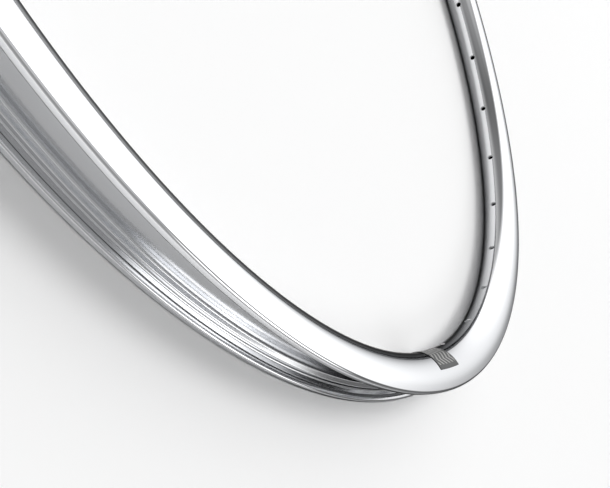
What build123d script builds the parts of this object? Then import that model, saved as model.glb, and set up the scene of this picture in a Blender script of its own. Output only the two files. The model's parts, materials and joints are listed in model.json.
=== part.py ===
"""Bicycle rim: a hollow aluminium hoop with hooked tyre flanges, drilled for spokes and a valve."""

import os
from math import asin, cos, degrees, isclose, radians, sin

from build123d import *

# The rim lies flat. The axle runs along Z, and the origin is the middle of the hub.

# Hoop
lip_radius = 317.0
rim_width = 28.0
rim_depth = 22.0
straight_wall_height = 3.8

# Tyre channel, with its depths taken from the lips
flange_thickness = 2.5
hook_reach = 1.0
hook_height = 2.2
hook_undercut_height = 1.2
bead_seat_depth = 6.0
bead_seat_width = 2.0
well_depth = 8.0
well_slope_width = 0.9

# Edge rounds of the channel
lip_round = 1.4
hook_round = 1.0
undercut_round = 0.8
bead_seat_round = 0.6

# Walls around the hollow chamber
bridge_thickness = 1.1
sidewall_thickness = 1.3
spoke_bed_thickness = 2.0
chamber_round = 1.0

# Drilling
spoke_count = 32
spoke_hole_diameter = 4.5
valve_hole_diameter = 8.5
hole_deburr = 0.25
drill_overrun = 3.0

# Foil label, on its line of glue
label_sweep = 5.0
label_reach = 11.1
label_thickness = 0.2
label_glue_line = 0.25

half_width = rim_width / 2
crest_radius = lip_radius - rim_depth
shoulder_radius = lip_radius - straight_wall_height
bowl_depth = shoulder_radius - crest_radius
hook_foot_radius = lip_radius - hook_height
undercut_radius = hook_foot_radius - hook_undercut_height
bead_seat_radius = lip_radius - bead_seat_depth
well_radius = lip_radius - well_depth
roof_radius = well_radius - bridge_thickness
flange_inside = half_width - flange_thickness
hook_inside = flange_inside - hook_reach
seat_edge = flange_inside - bead_seat_width
well_edge = seat_edge - well_slope_width
chamber_depth = bowl_depth - spoke_bed_thickness
chamber_half_width = half_width - sidewall_thickness

# The valve stands at +Y and the label opposite, each midway between two spoke holes.
spoke_pitch = 360 / spoke_count
valve_angle = 90.0
label_angle = valve_angle + 180
first_spoke_angle = valve_angle + spoke_pitch / 2


def corners(sketch, radius, offset):
    """The pair of section corners at this radius, one on each side of the middle plane."""
    return sketch.vertices().filter_by(
        lambda corner: isclose(corner.X, radius) and isclose(abs(corner.Y), offset)
    )


# The rim is one extruded section, rolled into a hoop and welded flush, with its chamber left hollow.
roof_turn = degrees(asin((shoulder_radius - roof_radius) / chamber_depth))
drill_length = spoke_bed_thickness + 2 * drill_overrun
valve_drill_length = rim_depth + 2 * drill_overrun

with BuildPart() as rim:
    with BuildSketch(Plane.XZ) as section:
        with BuildLine():
            bowl = EllipticalCenterArc((shoulder_radius, 0), bowl_depth, half_width, 90, arc_size=180)
            Polyline(
                bowl @ 1,
                (lip_radius, -half_width),
                (lip_radius, -hook_inside),
                (hook_foot_radius, -hook_inside),
                (undercut_radius, -flange_inside),
                (bead_seat_radius, -flange_inside),
                (bead_seat_radius, -seat_edge),
                (well_radius, -well_edge),
                (well_radius, well_edge),
                (bead_seat_radius, seat_edge),
                (bead_seat_radius, flange_inside),
                (undercut_radius, flange_inside),
                (hook_foot_radius, hook_inside),
                (lip_radius, hook_inside),
                (lip_radius, half_width),
                bowl @ 0,
            )
        make_face()
        fillet(corners(section, lip_radius, half_width), lip_round)
        fillet(corners(section, lip_radius, hook_inside), hook_round)
        fillet(corners(section, hook_foot_radius, hook_inside), hook_round)
        fillet(corners(section, undercut_radius, flange_inside), undercut_round)
        fillet(corners(section, bead_seat_radius, flange_inside), undercut_round)
        fillet(corners(section, bead_seat_radius, seat_edge), bead_seat_round)
        fillet(corners(section, well_radius, well_edge), bead_seat_round)
        with BuildSketch(Plane.XY, mode=Mode.PRIVATE) as chamber:
            with BuildLine():
                floor = EllipticalCenterArc(
                    (shoulder_radius, 0),
                    chamber_depth,
                    chamber_half_width,
                    90 + roof_turn,
                    arc_size=180 - 2 * roof_turn,
                )
                Line(floor @ 1, floor @ 0)
            make_face()
            fillet(chamber.vertices(), chamber_round)
        add(chamber.sketch, mode=Mode.SUBTRACT)
    revolve(axis=Axis.Z)
    with PolarLocations(crest_radius - drill_overrun, spoke_count, first_spoke_angle):
        Cylinder(
            spoke_hole_diameter / 2,
            drill_length,
            rotation=(0, 90, 0),
            align=(Align.CENTER, Align.CENTER, Align.MIN),
            mode=Mode.SUBTRACT,
        )
    with PolarLocations(crest_radius - drill_overrun, 1, valve_angle):
        Cylinder(
            valve_hole_diameter / 2,
            valve_drill_length,
            rotation=(0, 90, 0),
            align=(Align.CENTER, Align.CENTER, Align.MIN),
            mode=Mode.SUBTRACT,
        )
    spoke_bed = rim.faces().sort_by(SortBy.AREA)[-1]
    chamfer(spoke_bed.inner_wires().edges(), hole_deburr)
rim.part.label = "rim"


# The label is a thin foil stuck around the bowl, from one side face over the spoke bed to the other.
label_turn = degrees(asin((bowl_depth - label_reach) / bowl_depth))
label_start = radians(label_angle - label_sweep / 2)
label_plane = Plane(
    (0, 0, 0),
    x_dir=(cos(label_start), sin(label_start), 0),
    z_dir=(sin(label_start), -cos(label_start), 0),
)

with BuildPart() as rim_label:
    with BuildSketch(label_plane):
        with BuildLine():
            glued = EllipticalCenterArc(
                (shoulder_radius, 0),
                bowl_depth + label_glue_line,
                half_width + label_glue_line,
                90 + label_turn,
                arc_size=180 - 2 * label_turn,
            )
            printed = EllipticalCenterArc(
                (shoulder_radius, 0),
                bowl_depth + label_glue_line + label_thickness,
                half_width + label_glue_line + label_thickness,
                90 + label_turn,
                arc_size=180 - 2 * label_turn,
            )
            Line(glued @ 0, printed @ 0)
            Line(glued @ 1, printed @ 1)
        make_face()
    revolve(axis=Axis.Z, revolution_arc=label_sweep)
rim_label.part.label = "rim_label"


os.makedirs("parts", exist_ok=True)
export_step(rim.part, "parts/rim.step")
export_step(rim_label.part, "parts/rim_label.step")
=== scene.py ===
"""A polished aluminium bicycle rim, lying on a pale studio floor."""

import json
from math import cos, pi, radians, sin, tan

import bpy
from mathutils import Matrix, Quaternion, Vector

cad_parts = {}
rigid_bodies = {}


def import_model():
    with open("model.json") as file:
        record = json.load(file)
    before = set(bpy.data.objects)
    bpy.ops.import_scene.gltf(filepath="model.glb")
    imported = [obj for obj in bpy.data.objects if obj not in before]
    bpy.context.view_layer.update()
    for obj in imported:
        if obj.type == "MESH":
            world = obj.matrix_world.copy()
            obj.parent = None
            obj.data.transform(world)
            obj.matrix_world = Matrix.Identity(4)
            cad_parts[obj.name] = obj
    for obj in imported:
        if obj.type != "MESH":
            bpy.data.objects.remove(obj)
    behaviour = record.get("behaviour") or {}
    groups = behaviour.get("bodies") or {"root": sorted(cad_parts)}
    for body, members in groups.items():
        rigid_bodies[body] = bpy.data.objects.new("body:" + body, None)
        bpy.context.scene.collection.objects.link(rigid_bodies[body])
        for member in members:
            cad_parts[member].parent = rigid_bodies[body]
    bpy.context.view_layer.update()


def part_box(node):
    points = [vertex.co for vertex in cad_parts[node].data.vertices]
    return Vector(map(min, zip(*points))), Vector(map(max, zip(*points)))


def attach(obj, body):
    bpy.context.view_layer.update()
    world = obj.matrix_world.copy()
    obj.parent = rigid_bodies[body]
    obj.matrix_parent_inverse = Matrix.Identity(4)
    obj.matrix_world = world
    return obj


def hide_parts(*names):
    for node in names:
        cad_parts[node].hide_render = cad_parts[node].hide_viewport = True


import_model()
bpy.ops.object.select_all(action="DESELECT")

# The rim is one aluminium extrusion, rolled into a hoop, welded at its ends and buffed to a mirror.
# Two hooked flanges hold the tyre, a floor closes the hollow chamber above the rounded spoke bed,
# and the spoke bed is drilled for the nipples and the valve.
mm = 0.001
tiny = 0.001 * mm
rim_low, rim_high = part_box("rim")
lip_radius = rim_high.x
half_width = rim_high.z
rim_depth = 22.0 * mm
straight_wall_height = 3.8 * mm
flange_thickness = 2.5 * mm
hook_reach = 1.0 * mm
hook_height = 2.2 * mm
hook_undercut_height = 1.2 * mm
bead_seat_depth = 6.0 * mm
bead_seat_width = 2.0 * mm
well_depth = 8.0 * mm
well_slope_width = 0.9 * mm
lip_round = 1.4 * mm
hook_round = 1.0 * mm
undercut_round = 0.8 * mm
bead_seat_round = 0.6 * mm
bowl_points = 96
round_segments = 5
hoop_steps = 512
crest_radius = lip_radius - rim_depth
shoulder_radius = lip_radius - straight_wall_height
bowl_depth = shoulder_radius - crest_radius
hook_foot_radius = lip_radius - hook_height
undercut_radius = hook_foot_radius - hook_undercut_height
bead_seat_radius = lip_radius - bead_seat_depth
well_radius = lip_radius - well_depth
flange_inside = half_width - flange_thickness
hook_inside = flange_inside - hook_reach
bead_seat_edge = flange_inside - bead_seat_width
well_edge = bead_seat_edge - well_slope_width


def select_points(piece, wanted):
    """Select, in edit mode, the points of a piece whose place passes the test."""
    bpy.ops.object.mode_set(mode="OBJECT")
    bpy.context.tool_settings.mesh_select_mode = (True, False, False)
    for face in piece.data.polygons:
        face.select = False
    for edge in piece.data.edges:
        edge.select = False
    for point in piece.data.vertices:
        point.select = wanted(point.co)
    bpy.ops.object.mode_set(mode="EDIT")


def near(radius, offset):
    """A test for section points at this radius, on either side of the middle."""
    return lambda place: abs(place.x - radius) < tiny and abs(abs(place.z) - offset) < tiny


# The bowl is half an oval, from one shoulder over the spoke bed to the other.
bpy.ops.mesh.primitive_circle_add(
    vertices=bowl_points, radius=1, location=(shoulder_radius, 0, 0), rotation=(pi / 2, 0, 0)
)
rim = bpy.context.object
rim.name = "polished_rim"
rim.scale = (bowl_depth, half_width, 1)
bpy.ops.object.transform_apply(location=True, rotation=True, scale=True)
select_points(rim, lambda place: place.x > shoulder_radius + tiny)
bpy.ops.mesh.delete(type="VERT")

# From each shoulder the section climbs to the lip, hooks over the bead and comes down to the well.
# Each corner has its radius, its offset from the middle and its rounding.
flange_path = [
    (shoulder_radius, half_width, 0),
    (lip_radius, half_width, lip_round),
    (lip_radius, hook_inside, hook_round),
    (hook_foot_radius, hook_inside, hook_round),
    (undercut_radius, flange_inside, undercut_round),
    (bead_seat_radius, flange_inside, undercut_round),
    (bead_seat_radius, bead_seat_edge, bead_seat_round),
    (well_radius, well_edge, bead_seat_round),
    (well_radius, 0, 0),
]
for side in (1, -1):
    shoulder = Vector((shoulder_radius, 0, side * half_width))
    select_points(rim, lambda place: (place - shoulder).length < tiny)
    for here, there in zip(flange_path[:-2], flange_path[1:-1]):
        climb = (there[0] - here[0], 0, side * (there[1] - here[1]))
        bpy.ops.mesh.extrude_region_move(TRANSFORM_OT_translate={"value": climb})
select_points(rim, near(well_radius, well_edge))
bpy.ops.mesh.edge_face_add()
for before, corner, after in zip(flange_path, flange_path[1:], flange_path[2:]):
    radius, offset, rounding = corner
    into = Vector(corner[:2]) - Vector(before[:2])
    out = Vector(after[:2]) - Vector(corner[:2])
    select_points(rim, near(radius, offset))
    bpy.ops.mesh.bevel(
        affect="VERTICES",
        offset_type="OFFSET",
        offset=rounding * tan(into.angle(out) / 2),
        segments=round_segments,
        profile=0.5,
    )
bpy.ops.mesh.select_all(action="SELECT")
bpy.ops.mesh.spin(steps=hoop_steps, angle=2 * pi, center=(0, 0, 0), axis=(0, 0, 1))
bpy.ops.mesh.select_all(action="SELECT")
bpy.ops.mesh.remove_doubles(threshold=tiny)
bpy.ops.mesh.normals_make_consistent(inside=False)
bpy.ops.object.mode_set(mode="OBJECT")

# The chamber is the hollow that the extrusion's die leaves between the tyre bed and the spoke bed.
# Little of it shows through the holes, so its mesh is coarser than the outside.
bridge_thickness = 1.1 * mm
sidewall_thickness = 1.3 * mm
spoke_bed_thickness = 2.0 * mm
chamber_round = 1.0 * mm
chamber_points = 48
chamber_round_segments = 3
chamber_steps = 256
chamber_depth = bowl_depth - spoke_bed_thickness
chamber_half_width = half_width - sidewall_thickness
roof_radius = well_radius - bridge_thickness
bpy.ops.object.select_all(action="DESELECT")
bpy.ops.mesh.primitive_circle_add(
    vertices=chamber_points, radius=1, location=(shoulder_radius, 0, 0), rotation=(pi / 2, 0, 0)
)
chamber = bpy.context.object
chamber.scale = (chamber_depth, chamber_half_width, 1)
bpy.ops.object.transform_apply(location=True, rotation=True, scale=True)
bpy.ops.object.mode_set(mode="EDIT")
bpy.ops.mesh.select_all(action="SELECT")
bpy.ops.mesh.edge_face_add()
bpy.ops.mesh.bisect(plane_co=(roof_radius, 0, 0), plane_no=(1, 0, 0), clear_outer=True)
bpy.ops.mesh.select_all(action="SELECT")
bpy.ops.mesh.delete(type="ONLY_FACE")
select_points(chamber, lambda place: abs(place.x - roof_radius) < tiny)
bpy.ops.mesh.bevel(
    affect="VERTICES",
    offset_type="OFFSET",
    offset=chamber_round,
    segments=chamber_round_segments,
    profile=0.5,
)
bpy.ops.mesh.select_all(action="SELECT")
bpy.ops.mesh.spin(steps=chamber_steps, angle=2 * pi, center=(0, 0, 0), axis=(0, 0, 1))
bpy.ops.mesh.select_all(action="SELECT")
bpy.ops.mesh.remove_doubles(threshold=tiny)
bpy.ops.mesh.normals_make_consistent(inside=True)
bpy.ops.object.mode_set(mode="OBJECT")
bpy.ops.object.select_all(action="DESELECT")
chamber.select_set(True)
rim.select_set(True)
bpy.context.view_layer.objects.active = rim
bpy.ops.object.join()


def add(tree, kind, inputs, **settings):
    """Add a node, with its settings, and fill its inputs with values or with other nodes' outputs."""
    node = tree.nodes.new(kind)
    for name, value in settings.items():
        setattr(node, name, value)
    for name, value in inputs.items():
        if isinstance(value, bpy.types.NodeSocket):
            tree.links.new(value, node.inputs[name])
        else:
            node.inputs[name].default_value = value
    return node


def colour(code):
    """The linear colour of an sRGB hex code."""
    parts = [int(code[i : i + 2], 16) / 255 for i in (1, 3, 5)]
    return [p / 12.92 if p <= 0.04045 else ((p + 0.055) / 1.055) ** 2.4 for p in parts] + [1]


# Buffed aluminium reads as a bright mirror under its lacquer, which darkens it where it is seen
# edge-on. The wheel leaves it duller in patches as long as a finger, and in fine lines round the
# hoop, which are drawn coarser than they are so that they show.
patch_length = 60 * mm
line_length = 50 * mm
line_spacing = 0.7 * mm
buffed = bpy.data.materials.new("buffed_aluminium")
buffed.use_nodes = True
tree = buffed.node_tree
shader = tree.nodes["Principled BSDF"]
shader.inputs["Metallic"].default_value = 1
shader.inputs["Base Color"].default_value = colour("#EBECEE")
shader.inputs["Specular Tint"].default_value = colour("#303030")
place = add(tree, "ShaderNodeTexCoord", {}).outputs["Object"]
patches = add(tree, "ShaderNodeTexNoise", {"Vector": place, "Scale": 1 / patch_length, "Detail": 2})
spread = (1 / line_length, 1 / line_length, 1 / line_spacing)
stretched = add(tree, "ShaderNodeVectorMath", {0: place, 1: spread}, operation="MULTIPLY")
flat = add(tree, "ShaderNodeVectorMath", {0: place, 1: (1, 1, 0)}, operation="MULTIPLY")
reach = add(tree, "ShaderNodeVectorMath", {0: flat.outputs["Vector"]}, operation="LENGTH")
ring = add(
    tree, "ShaderNodeMath", {0: reach.outputs["Value"], 1: 1 / line_spacing}, operation="MULTIPLY"
)
lines = add(
    tree,
    "ShaderNodeTexNoise",
    {"Vector": stretched.outputs["Vector"], "W": ring.outputs["Value"], "Scale": 1, "Detail": 1},
    noise_dimensions="4D",
)
wear = add(
    tree, "ShaderNodeMath", {0: patches.outputs["Fac"], 1: lines.outputs["Fac"]}, operation="ADD"
)
dullness = add(
    tree,
    "ShaderNodeMapRange",
    {"Value": wear.outputs["Value"], "From Min": 0.7, "From Max": 1.3, "To Min": 0.04, "To Max": 0.09},
)
tree.links.new(dullness.outputs["Result"], shader.inputs["Roughness"])
rim.data.materials.append(buffed)

# Extruded aluminium is duller. The buffing wheel can't reach into the tyre channel, which keeps the
# satin finish of the die, with the die's fine lines round the hoop.
extruded = buffed.copy()
extruded.name = "extruded_aluminium"
sheen = extruded.node_tree.nodes[dullness.name]
sheen.inputs["To Min"].default_value = 0.12
sheen.inputs["To Max"].default_value = 0.14
rim.data.materials.append(extruded)
extruded_slot = 1


def in_channel(place):
    """True for a point of the rim between the two lips, above the tyre bed."""
    inside = well_radius - tiny < place.xy.length < lip_radius - hook_round + tiny
    return inside and abs(place.z) < flange_inside + tiny


select_points(rim, in_channel)
bpy.ops.mesh.select_mode(type="FACE")
rim.active_material_index = extruded_slot
bpy.ops.object.material_slot_assign()
bpy.ops.object.mode_set(mode="OBJECT")

# Drilled aluminium is freshly cut and matt, so a hole's wall takes light from all around its mouth.
drilled = bpy.data.materials.new("drilled_aluminium")
drilled.use_nodes = True
shader = drilled.node_tree.nodes["Principled BSDF"]
shader.inputs["Metallic"].default_value = 1
shader.inputs["Base Color"].default_value = colour("#F0F1F2")
shader.inputs["Roughness"].default_value = 0.85

# The spoke holes have their burr taken off, and that edge is buffed with the rim. The valve hole goes
# through both walls, opposite the label.
spoke_count = 32
spoke_hole_radius = 2.25 * mm
valve_hole_radius = 4.25 * mm
deburr = 0.25 * mm
drill_length = 8 * mm
drill_sides = 40
valve_drill_sides = 56
mouth = crest_radius + deburr
flare = (spoke_hole_radius + 2 * deburr) / spoke_hole_radius
bpy.ops.object.select_all(action="DESELECT")
bpy.ops.mesh.primitive_cylinder_add(
    vertices=drill_sides,
    radius=spoke_hole_radius,
    depth=drill_length,
    location=(mouth + drill_length / 2, 0, 0),
    rotation=(0, pi / 2, 0),
)
drills = bpy.context.object
drills.data.materials.append(drilled)
drills.data.materials.append(buffed)
drilled_slot, buffed_slot = 0, 1
bpy.ops.object.transform_apply(location=True, rotation=True, scale=True)
select_points(drills, lambda place: place.x < mouth + tiny)
bpy.ops.mesh.select_mode(type="FACE")
bpy.ops.mesh.extrude_region_move(TRANSFORM_OT_translate={"value": (-2 * deburr, 0, 0)})
bpy.ops.transform.resize(value=(1, flare, flare))
bpy.ops.mesh.select_more()
drills.active_material_index = buffed_slot
bpy.ops.object.material_slot_assign()
bpy.ops.mesh.select_all(action="SELECT")
bpy.ops.transform.rotate(
    value=pi / 2 + pi / spoke_count, orient_axis="Z", center_override=(0, 0, 0)
)
bpy.ops.mesh.spin(
    steps=spoke_count - 1,
    dupli=True,
    angle=2 * pi * (spoke_count - 1) / spoke_count,
    center=(0, 0, 0),
    axis=(0, 0, 1),
)
drills.active_material_index = drilled_slot
bpy.ops.mesh.primitive_cylinder_add(
    vertices=valve_drill_sides,
    radius=valve_hole_radius,
    depth=2 * rim_depth,
    location=(0, lip_radius - rim_depth / 2, 0),
    rotation=(pi / 2, 0, 0),
)
bpy.ops.mesh.select_all(action="SELECT")
bpy.ops.mesh.normals_make_consistent(inside=False)
bpy.ops.object.mode_set(mode="OBJECT")
bpy.context.view_layer.objects.active = rim
cut = rim.modifiers.new("drilling", "BOOLEAN")
cut.operation = "DIFFERENCE"
cut.solver = "EXACT"
cut.material_mode = "TRANSFER"
cut.object = drills
bpy.ops.object.modifier_apply(modifier=cut.name)
bpy.data.objects.remove(drills)

# Points that the drilling leaves on one another are merged. Then the rounds are smoothed, and the
# flats and the holes' edges stay crisp.
crease = radians(30)
bpy.ops.object.select_all(action="DESELECT")
rim.select_set(True)
bpy.ops.object.mode_set(mode="EDIT")
bpy.ops.mesh.select_all(action="SELECT")
bpy.ops.mesh.remove_doubles(threshold=tiny)
bpy.ops.object.mode_set(mode="OBJECT")
bpy.ops.object.shade_smooth_by_angle(angle=crease)
flats = rim.modifiers.new("flat faces stay flat", "WEIGHTED_NORMAL")
flats.keep_sharp = True
bpy.ops.object.modifier_apply(modifier=flats.name)
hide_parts("rim")
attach(rim, "root")

# The label is a strip of foil, 0.2 mm thick and printed with zigzags. It is bent round the spoke bed
# between two holes and pressed down on its glue, so that it lies close on the metal.
label_thickness = 0.2 * mm
label_clearance = 0.05 * mm
label_reach = 11.1 * mm
label_sweep = radians(5)
label_steps = 10
label_depth = bowl_depth + label_clearance + label_thickness
label_half_width = half_width + label_clearance + label_thickness
label_end = shoulder_radius - label_depth * (1 - label_reach / bowl_depth)
glued_share = (
    (bowl_depth + label_clearance) / label_depth,
    1,
    (half_width + label_clearance) / label_half_width,
)
bpy.ops.object.select_all(action="DESELECT")
bpy.ops.mesh.primitive_circle_add(
    vertices=bowl_points, radius=1, location=(shoulder_radius, 0, 0), rotation=(pi / 2, 0, 0)
)
label = bpy.context.object
label.name = "foil_label"
label.scale = (label_depth, label_half_width, 1)
bpy.ops.object.transform_apply(location=True, rotation=True, scale=True)
bpy.ops.object.mode_set(mode="EDIT")
bpy.ops.mesh.select_mode(type="EDGE")
bpy.ops.mesh.select_all(action="SELECT")
bpy.ops.mesh.bisect(plane_co=(label_end, 0, 0), plane_no=(1, 0, 0), clear_outer=True)
bpy.ops.mesh.select_all(action="SELECT")
bpy.ops.mesh.extrude_region_move()
bpy.ops.transform.resize(value=glued_share, center_override=(shoulder_radius, 0, 0))
bpy.ops.mesh.select_all(action="SELECT")
bpy.ops.mesh.spin(steps=label_steps, angle=label_sweep, center=(0, 0, 0), axis=(0, 0, 1))
bpy.ops.mesh.select_all(action="SELECT")
bpy.ops.mesh.remove_doubles(threshold=tiny)
bpy.ops.mesh.normals_make_consistent(inside=False)
bpy.ops.object.mode_set(mode="OBJECT")
label.rotation_euler = (0, 0, label_sweep / 2 - pi / 2)
bpy.ops.object.transform_apply(location=True, rotation=True, scale=True)
bpy.ops.object.shade_smooth_by_angle(angle=crease)

# Printed foil has a dark grey ground and a paler print, both matt beside the metal. The strokes run
# across the strip and slant to and fro from row to row, counted from the crest of the spoke bed.
bend_radius = 16 * mm
row_width = 4.4 * mm
stroke_spacing = 4.4 * mm
stroke_half_width = 0.7 * mm
stroke_blur = 0.25 * mm
print_half_length = 11.4 * mm
print_half_width = 16.4 * mm
foil = bpy.data.materials.new("printed_foil")
foil.use_nodes = True
tree = foil.node_tree
shader = tree.nodes["Principled BSDF"]
shader.inputs["Roughness"].default_value = 0.4
shader.inputs["Specular IOR Level"].default_value = 0.1
place = add(tree, "ShaderNodeTexCoord", {}).outputs["Object"]
axes = add(tree, "ShaderNodeSeparateXYZ", {"Vector": place})
below = add(tree, "ShaderNodeMath", {0: axes.outputs["Y"], 1: -1}, operation="MULTIPLY")
turn = add(
    tree, "ShaderNodeMath", {0: axes.outputs["X"], 1: below.outputs["Value"]}, operation="ARCTAN2"
)
along = add(
    tree, "ShaderNodeMath", {0: turn.outputs["Value"], 1: crest_radius}, operation="MULTIPLY"
)
flat = add(tree, "ShaderNodeVectorMath", {0: place, 1: (1, 1, 0)}, operation="MULTIPLY")
reach = add(tree, "ShaderNodeVectorMath", {0: flat.outputs["Vector"]}, operation="LENGTH")
drop = add(
    tree,
    "ShaderNodeMath",
    {0: reach.outputs["Value"], 1: -1 / bowl_depth, 2: shoulder_radius / bowl_depth},
    operation="MULTIPLY_ADD",
)
rise = add(tree, "ShaderNodeMath", {0: axes.outputs["Z"], 1: 1 / half_width}, operation="MULTIPLY")
side = add(tree, "ShaderNodeMath", {0: rise.outputs["Value"]}, operation="ABSOLUTE")
swing = add(
    tree,
    "ShaderNodeMath",
    {0: side.outputs["Value"], 1: drop.outputs["Value"]},
    operation="ARCTAN2",
)
across = add(
    tree, "ShaderNodeMath", {0: swing.outputs["Value"], 1: bend_radius}, operation="MULTIPLY"
)
fold = add(
    tree, "ShaderNodeMath", {0: across.outputs["Value"], 1: row_width}, operation="PINGPONG"
)
slant = add(
    tree, "ShaderNodeMath", {0: fold.outputs["Value"], 1: along.outputs["Value"]}, operation="ADD"
)
wave = add(
    tree, "ShaderNodeMath", {0: slant.outputs["Value"], 1: stroke_spacing / 2}, operation="PINGPONG"
)
stroke = add(
    tree,
    "ShaderNodeMapRange",
    {
        "Value": wave.outputs["Value"],
        "From Min": stroke_half_width,
        "From Max": stroke_half_width + stroke_blur,
        "To Min": 1,
        "To Max": 0,
    },
)
off_middle = add(tree, "ShaderNodeMath", {0: along.outputs["Value"]}, operation="ABSOLUTE")
in_length = add(
    tree,
    "ShaderNodeMath",
    {0: off_middle.outputs["Value"], 1: print_half_length},
    operation="LESS_THAN",
)
in_width = add(
    tree, "ShaderNodeMath", {0: across.outputs["Value"], 1: print_half_width}, operation="LESS_THAN"
)
printed = add(
    tree,
    "ShaderNodeMath",
    {0: in_length.outputs["Value"], 1: in_width.outputs["Value"]},
    operation="MULTIPLY",
)
ink = add(
    tree,
    "ShaderNodeMath",
    {0: stroke.outputs["Result"], 1: printed.outputs["Value"]},
    operation="MULTIPLY",
)
ground_in, print_in, colour_out = 6, 7, 2
print_colour = add(
    tree,
    "ShaderNodeMix",
    {"Factor": ink.outputs["Value"], ground_in: colour("#3C3D3E"), print_in: colour("#969694")},
    data_type="RGBA",
)
tree.links.new(print_colour.outputs[colour_out], shader.inputs["Base Color"])
label.data.materials.append(foil)
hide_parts("rim_label")
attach(label, "root")

# The floor is a wide sheet of white card, laid flat under the rim. Matt card has no shine of its own,
# and the polished metal mirrors it.
floor_size = 60
bpy.ops.object.select_all(action="DESELECT")
bpy.ops.mesh.primitive_plane_add(size=floor_size, location=(0, 0, rim_low.z))
floor = bpy.context.object
floor.name = "white_floor"
card = bpy.data.materials.new("matt_white_card")
card.use_nodes = True
shader = card.node_tree.nodes["Principled BSDF"]
shader.inputs["Base Color"].default_value = colour("#FAFAFA")
shader.inputs["Roughness"].default_value = 0.9
floor.data.materials.append(card)


def toward(turn, height):
    """The direction at this turn from +X and this height above the floor, in degrees."""
    turn, height = radians(turn), radians(height)
    return Vector((cos(height) * cos(turn), cos(height) * sin(turn), sin(height)))


# A soft lamp hangs high beyond the hoop. Round it the studio is dim, with a white panel under the
# lamp, two small ones beside the camera, a paler wall behind it, a faint one to its left, a pale
# ceiling and a glow at the foot of the walls.
bpy.ops.object.light_add(type="SUN")
lamp = bpy.context.object
lamp.name = "soft_lamp"
lamp.rotation_euler = toward(15, 58).to_track_quat("Z", "Y").to_euler()
lamp.data.energy = 0.95
lamp.data.angle = radians(25)
lamp.visible_glossy = False

# Each panel has its middle, the angles from there to where its even part ends and to where it has
# faded out, and its brightness.
panels = (
    (toward(31, 31), 22, 44, 1.85),
    (toward(288, 41), 7, 16, 2.0),
    (toward(308, 37), 7, 16, 2.0),
    (toward(225, 50), 35, 75, 0.2),
    (toward(82, 15), 15, 45, 0.1),
    (toward(0, 90), 12, 35, 0.3),
    (toward(0, 90), 90, 60, 0.35),
)
dim_studio = 0.14
studio = bpy.data.worlds.new("studio")
bpy.context.scene.world = studio
studio.use_nodes = True
tree = studio.node_tree
looking = add(tree, "ShaderNodeTexCoord", {}).outputs["Generated"]
light = dim_studio
for middle, even, faded, brightness in panels:
    facing = add(tree, "ShaderNodeVectorMath", {0: looking, 1: middle}, operation="DOT_PRODUCT")
    panel = add(
        tree,
        "ShaderNodeMapRange",
        {
            "Value": facing.outputs["Value"],
            "From Min": cos(radians(faded)),
            "From Max": cos(radians(even)),
            "To Max": brightness,
        },
        interpolation_type="SMOOTHSTEP",
    )
    both = add(tree, "ShaderNodeMath", {0: light, 1: panel.outputs["Result"]}, operation="ADD")
    light = both.outputs["Value"]
backdrop = tree.nodes["Background"]
backdrop.inputs["Color"].default_value = colour("#FFFFFF")
tree.links.new(light, backdrop.inputs["Strength"])

# The camera looks down on the hoop from just outside it, turned as the photograph is.
standpoint = Vector((-0.33677, -0.29215, 0.13725))
aim = Vector((-0.10013, -0.2415, 0))
roll = Quaternion((0, 0, 1), radians(72.53))
scene = bpy.context.scene
scene.view_settings.view_transform = "Standard"
bpy.ops.object.camera_add(location=standpoint)
camera = bpy.context.object
camera.rotation_mode = "QUATERNION"
camera.rotation_quaternion = (aim - standpoint).to_track_quat("-Z", "Y") @ roll
camera.data.sensor_width = 36
camera.data.lens = 39.155
camera.data.clip_start = 0.01
scene.camera = camera
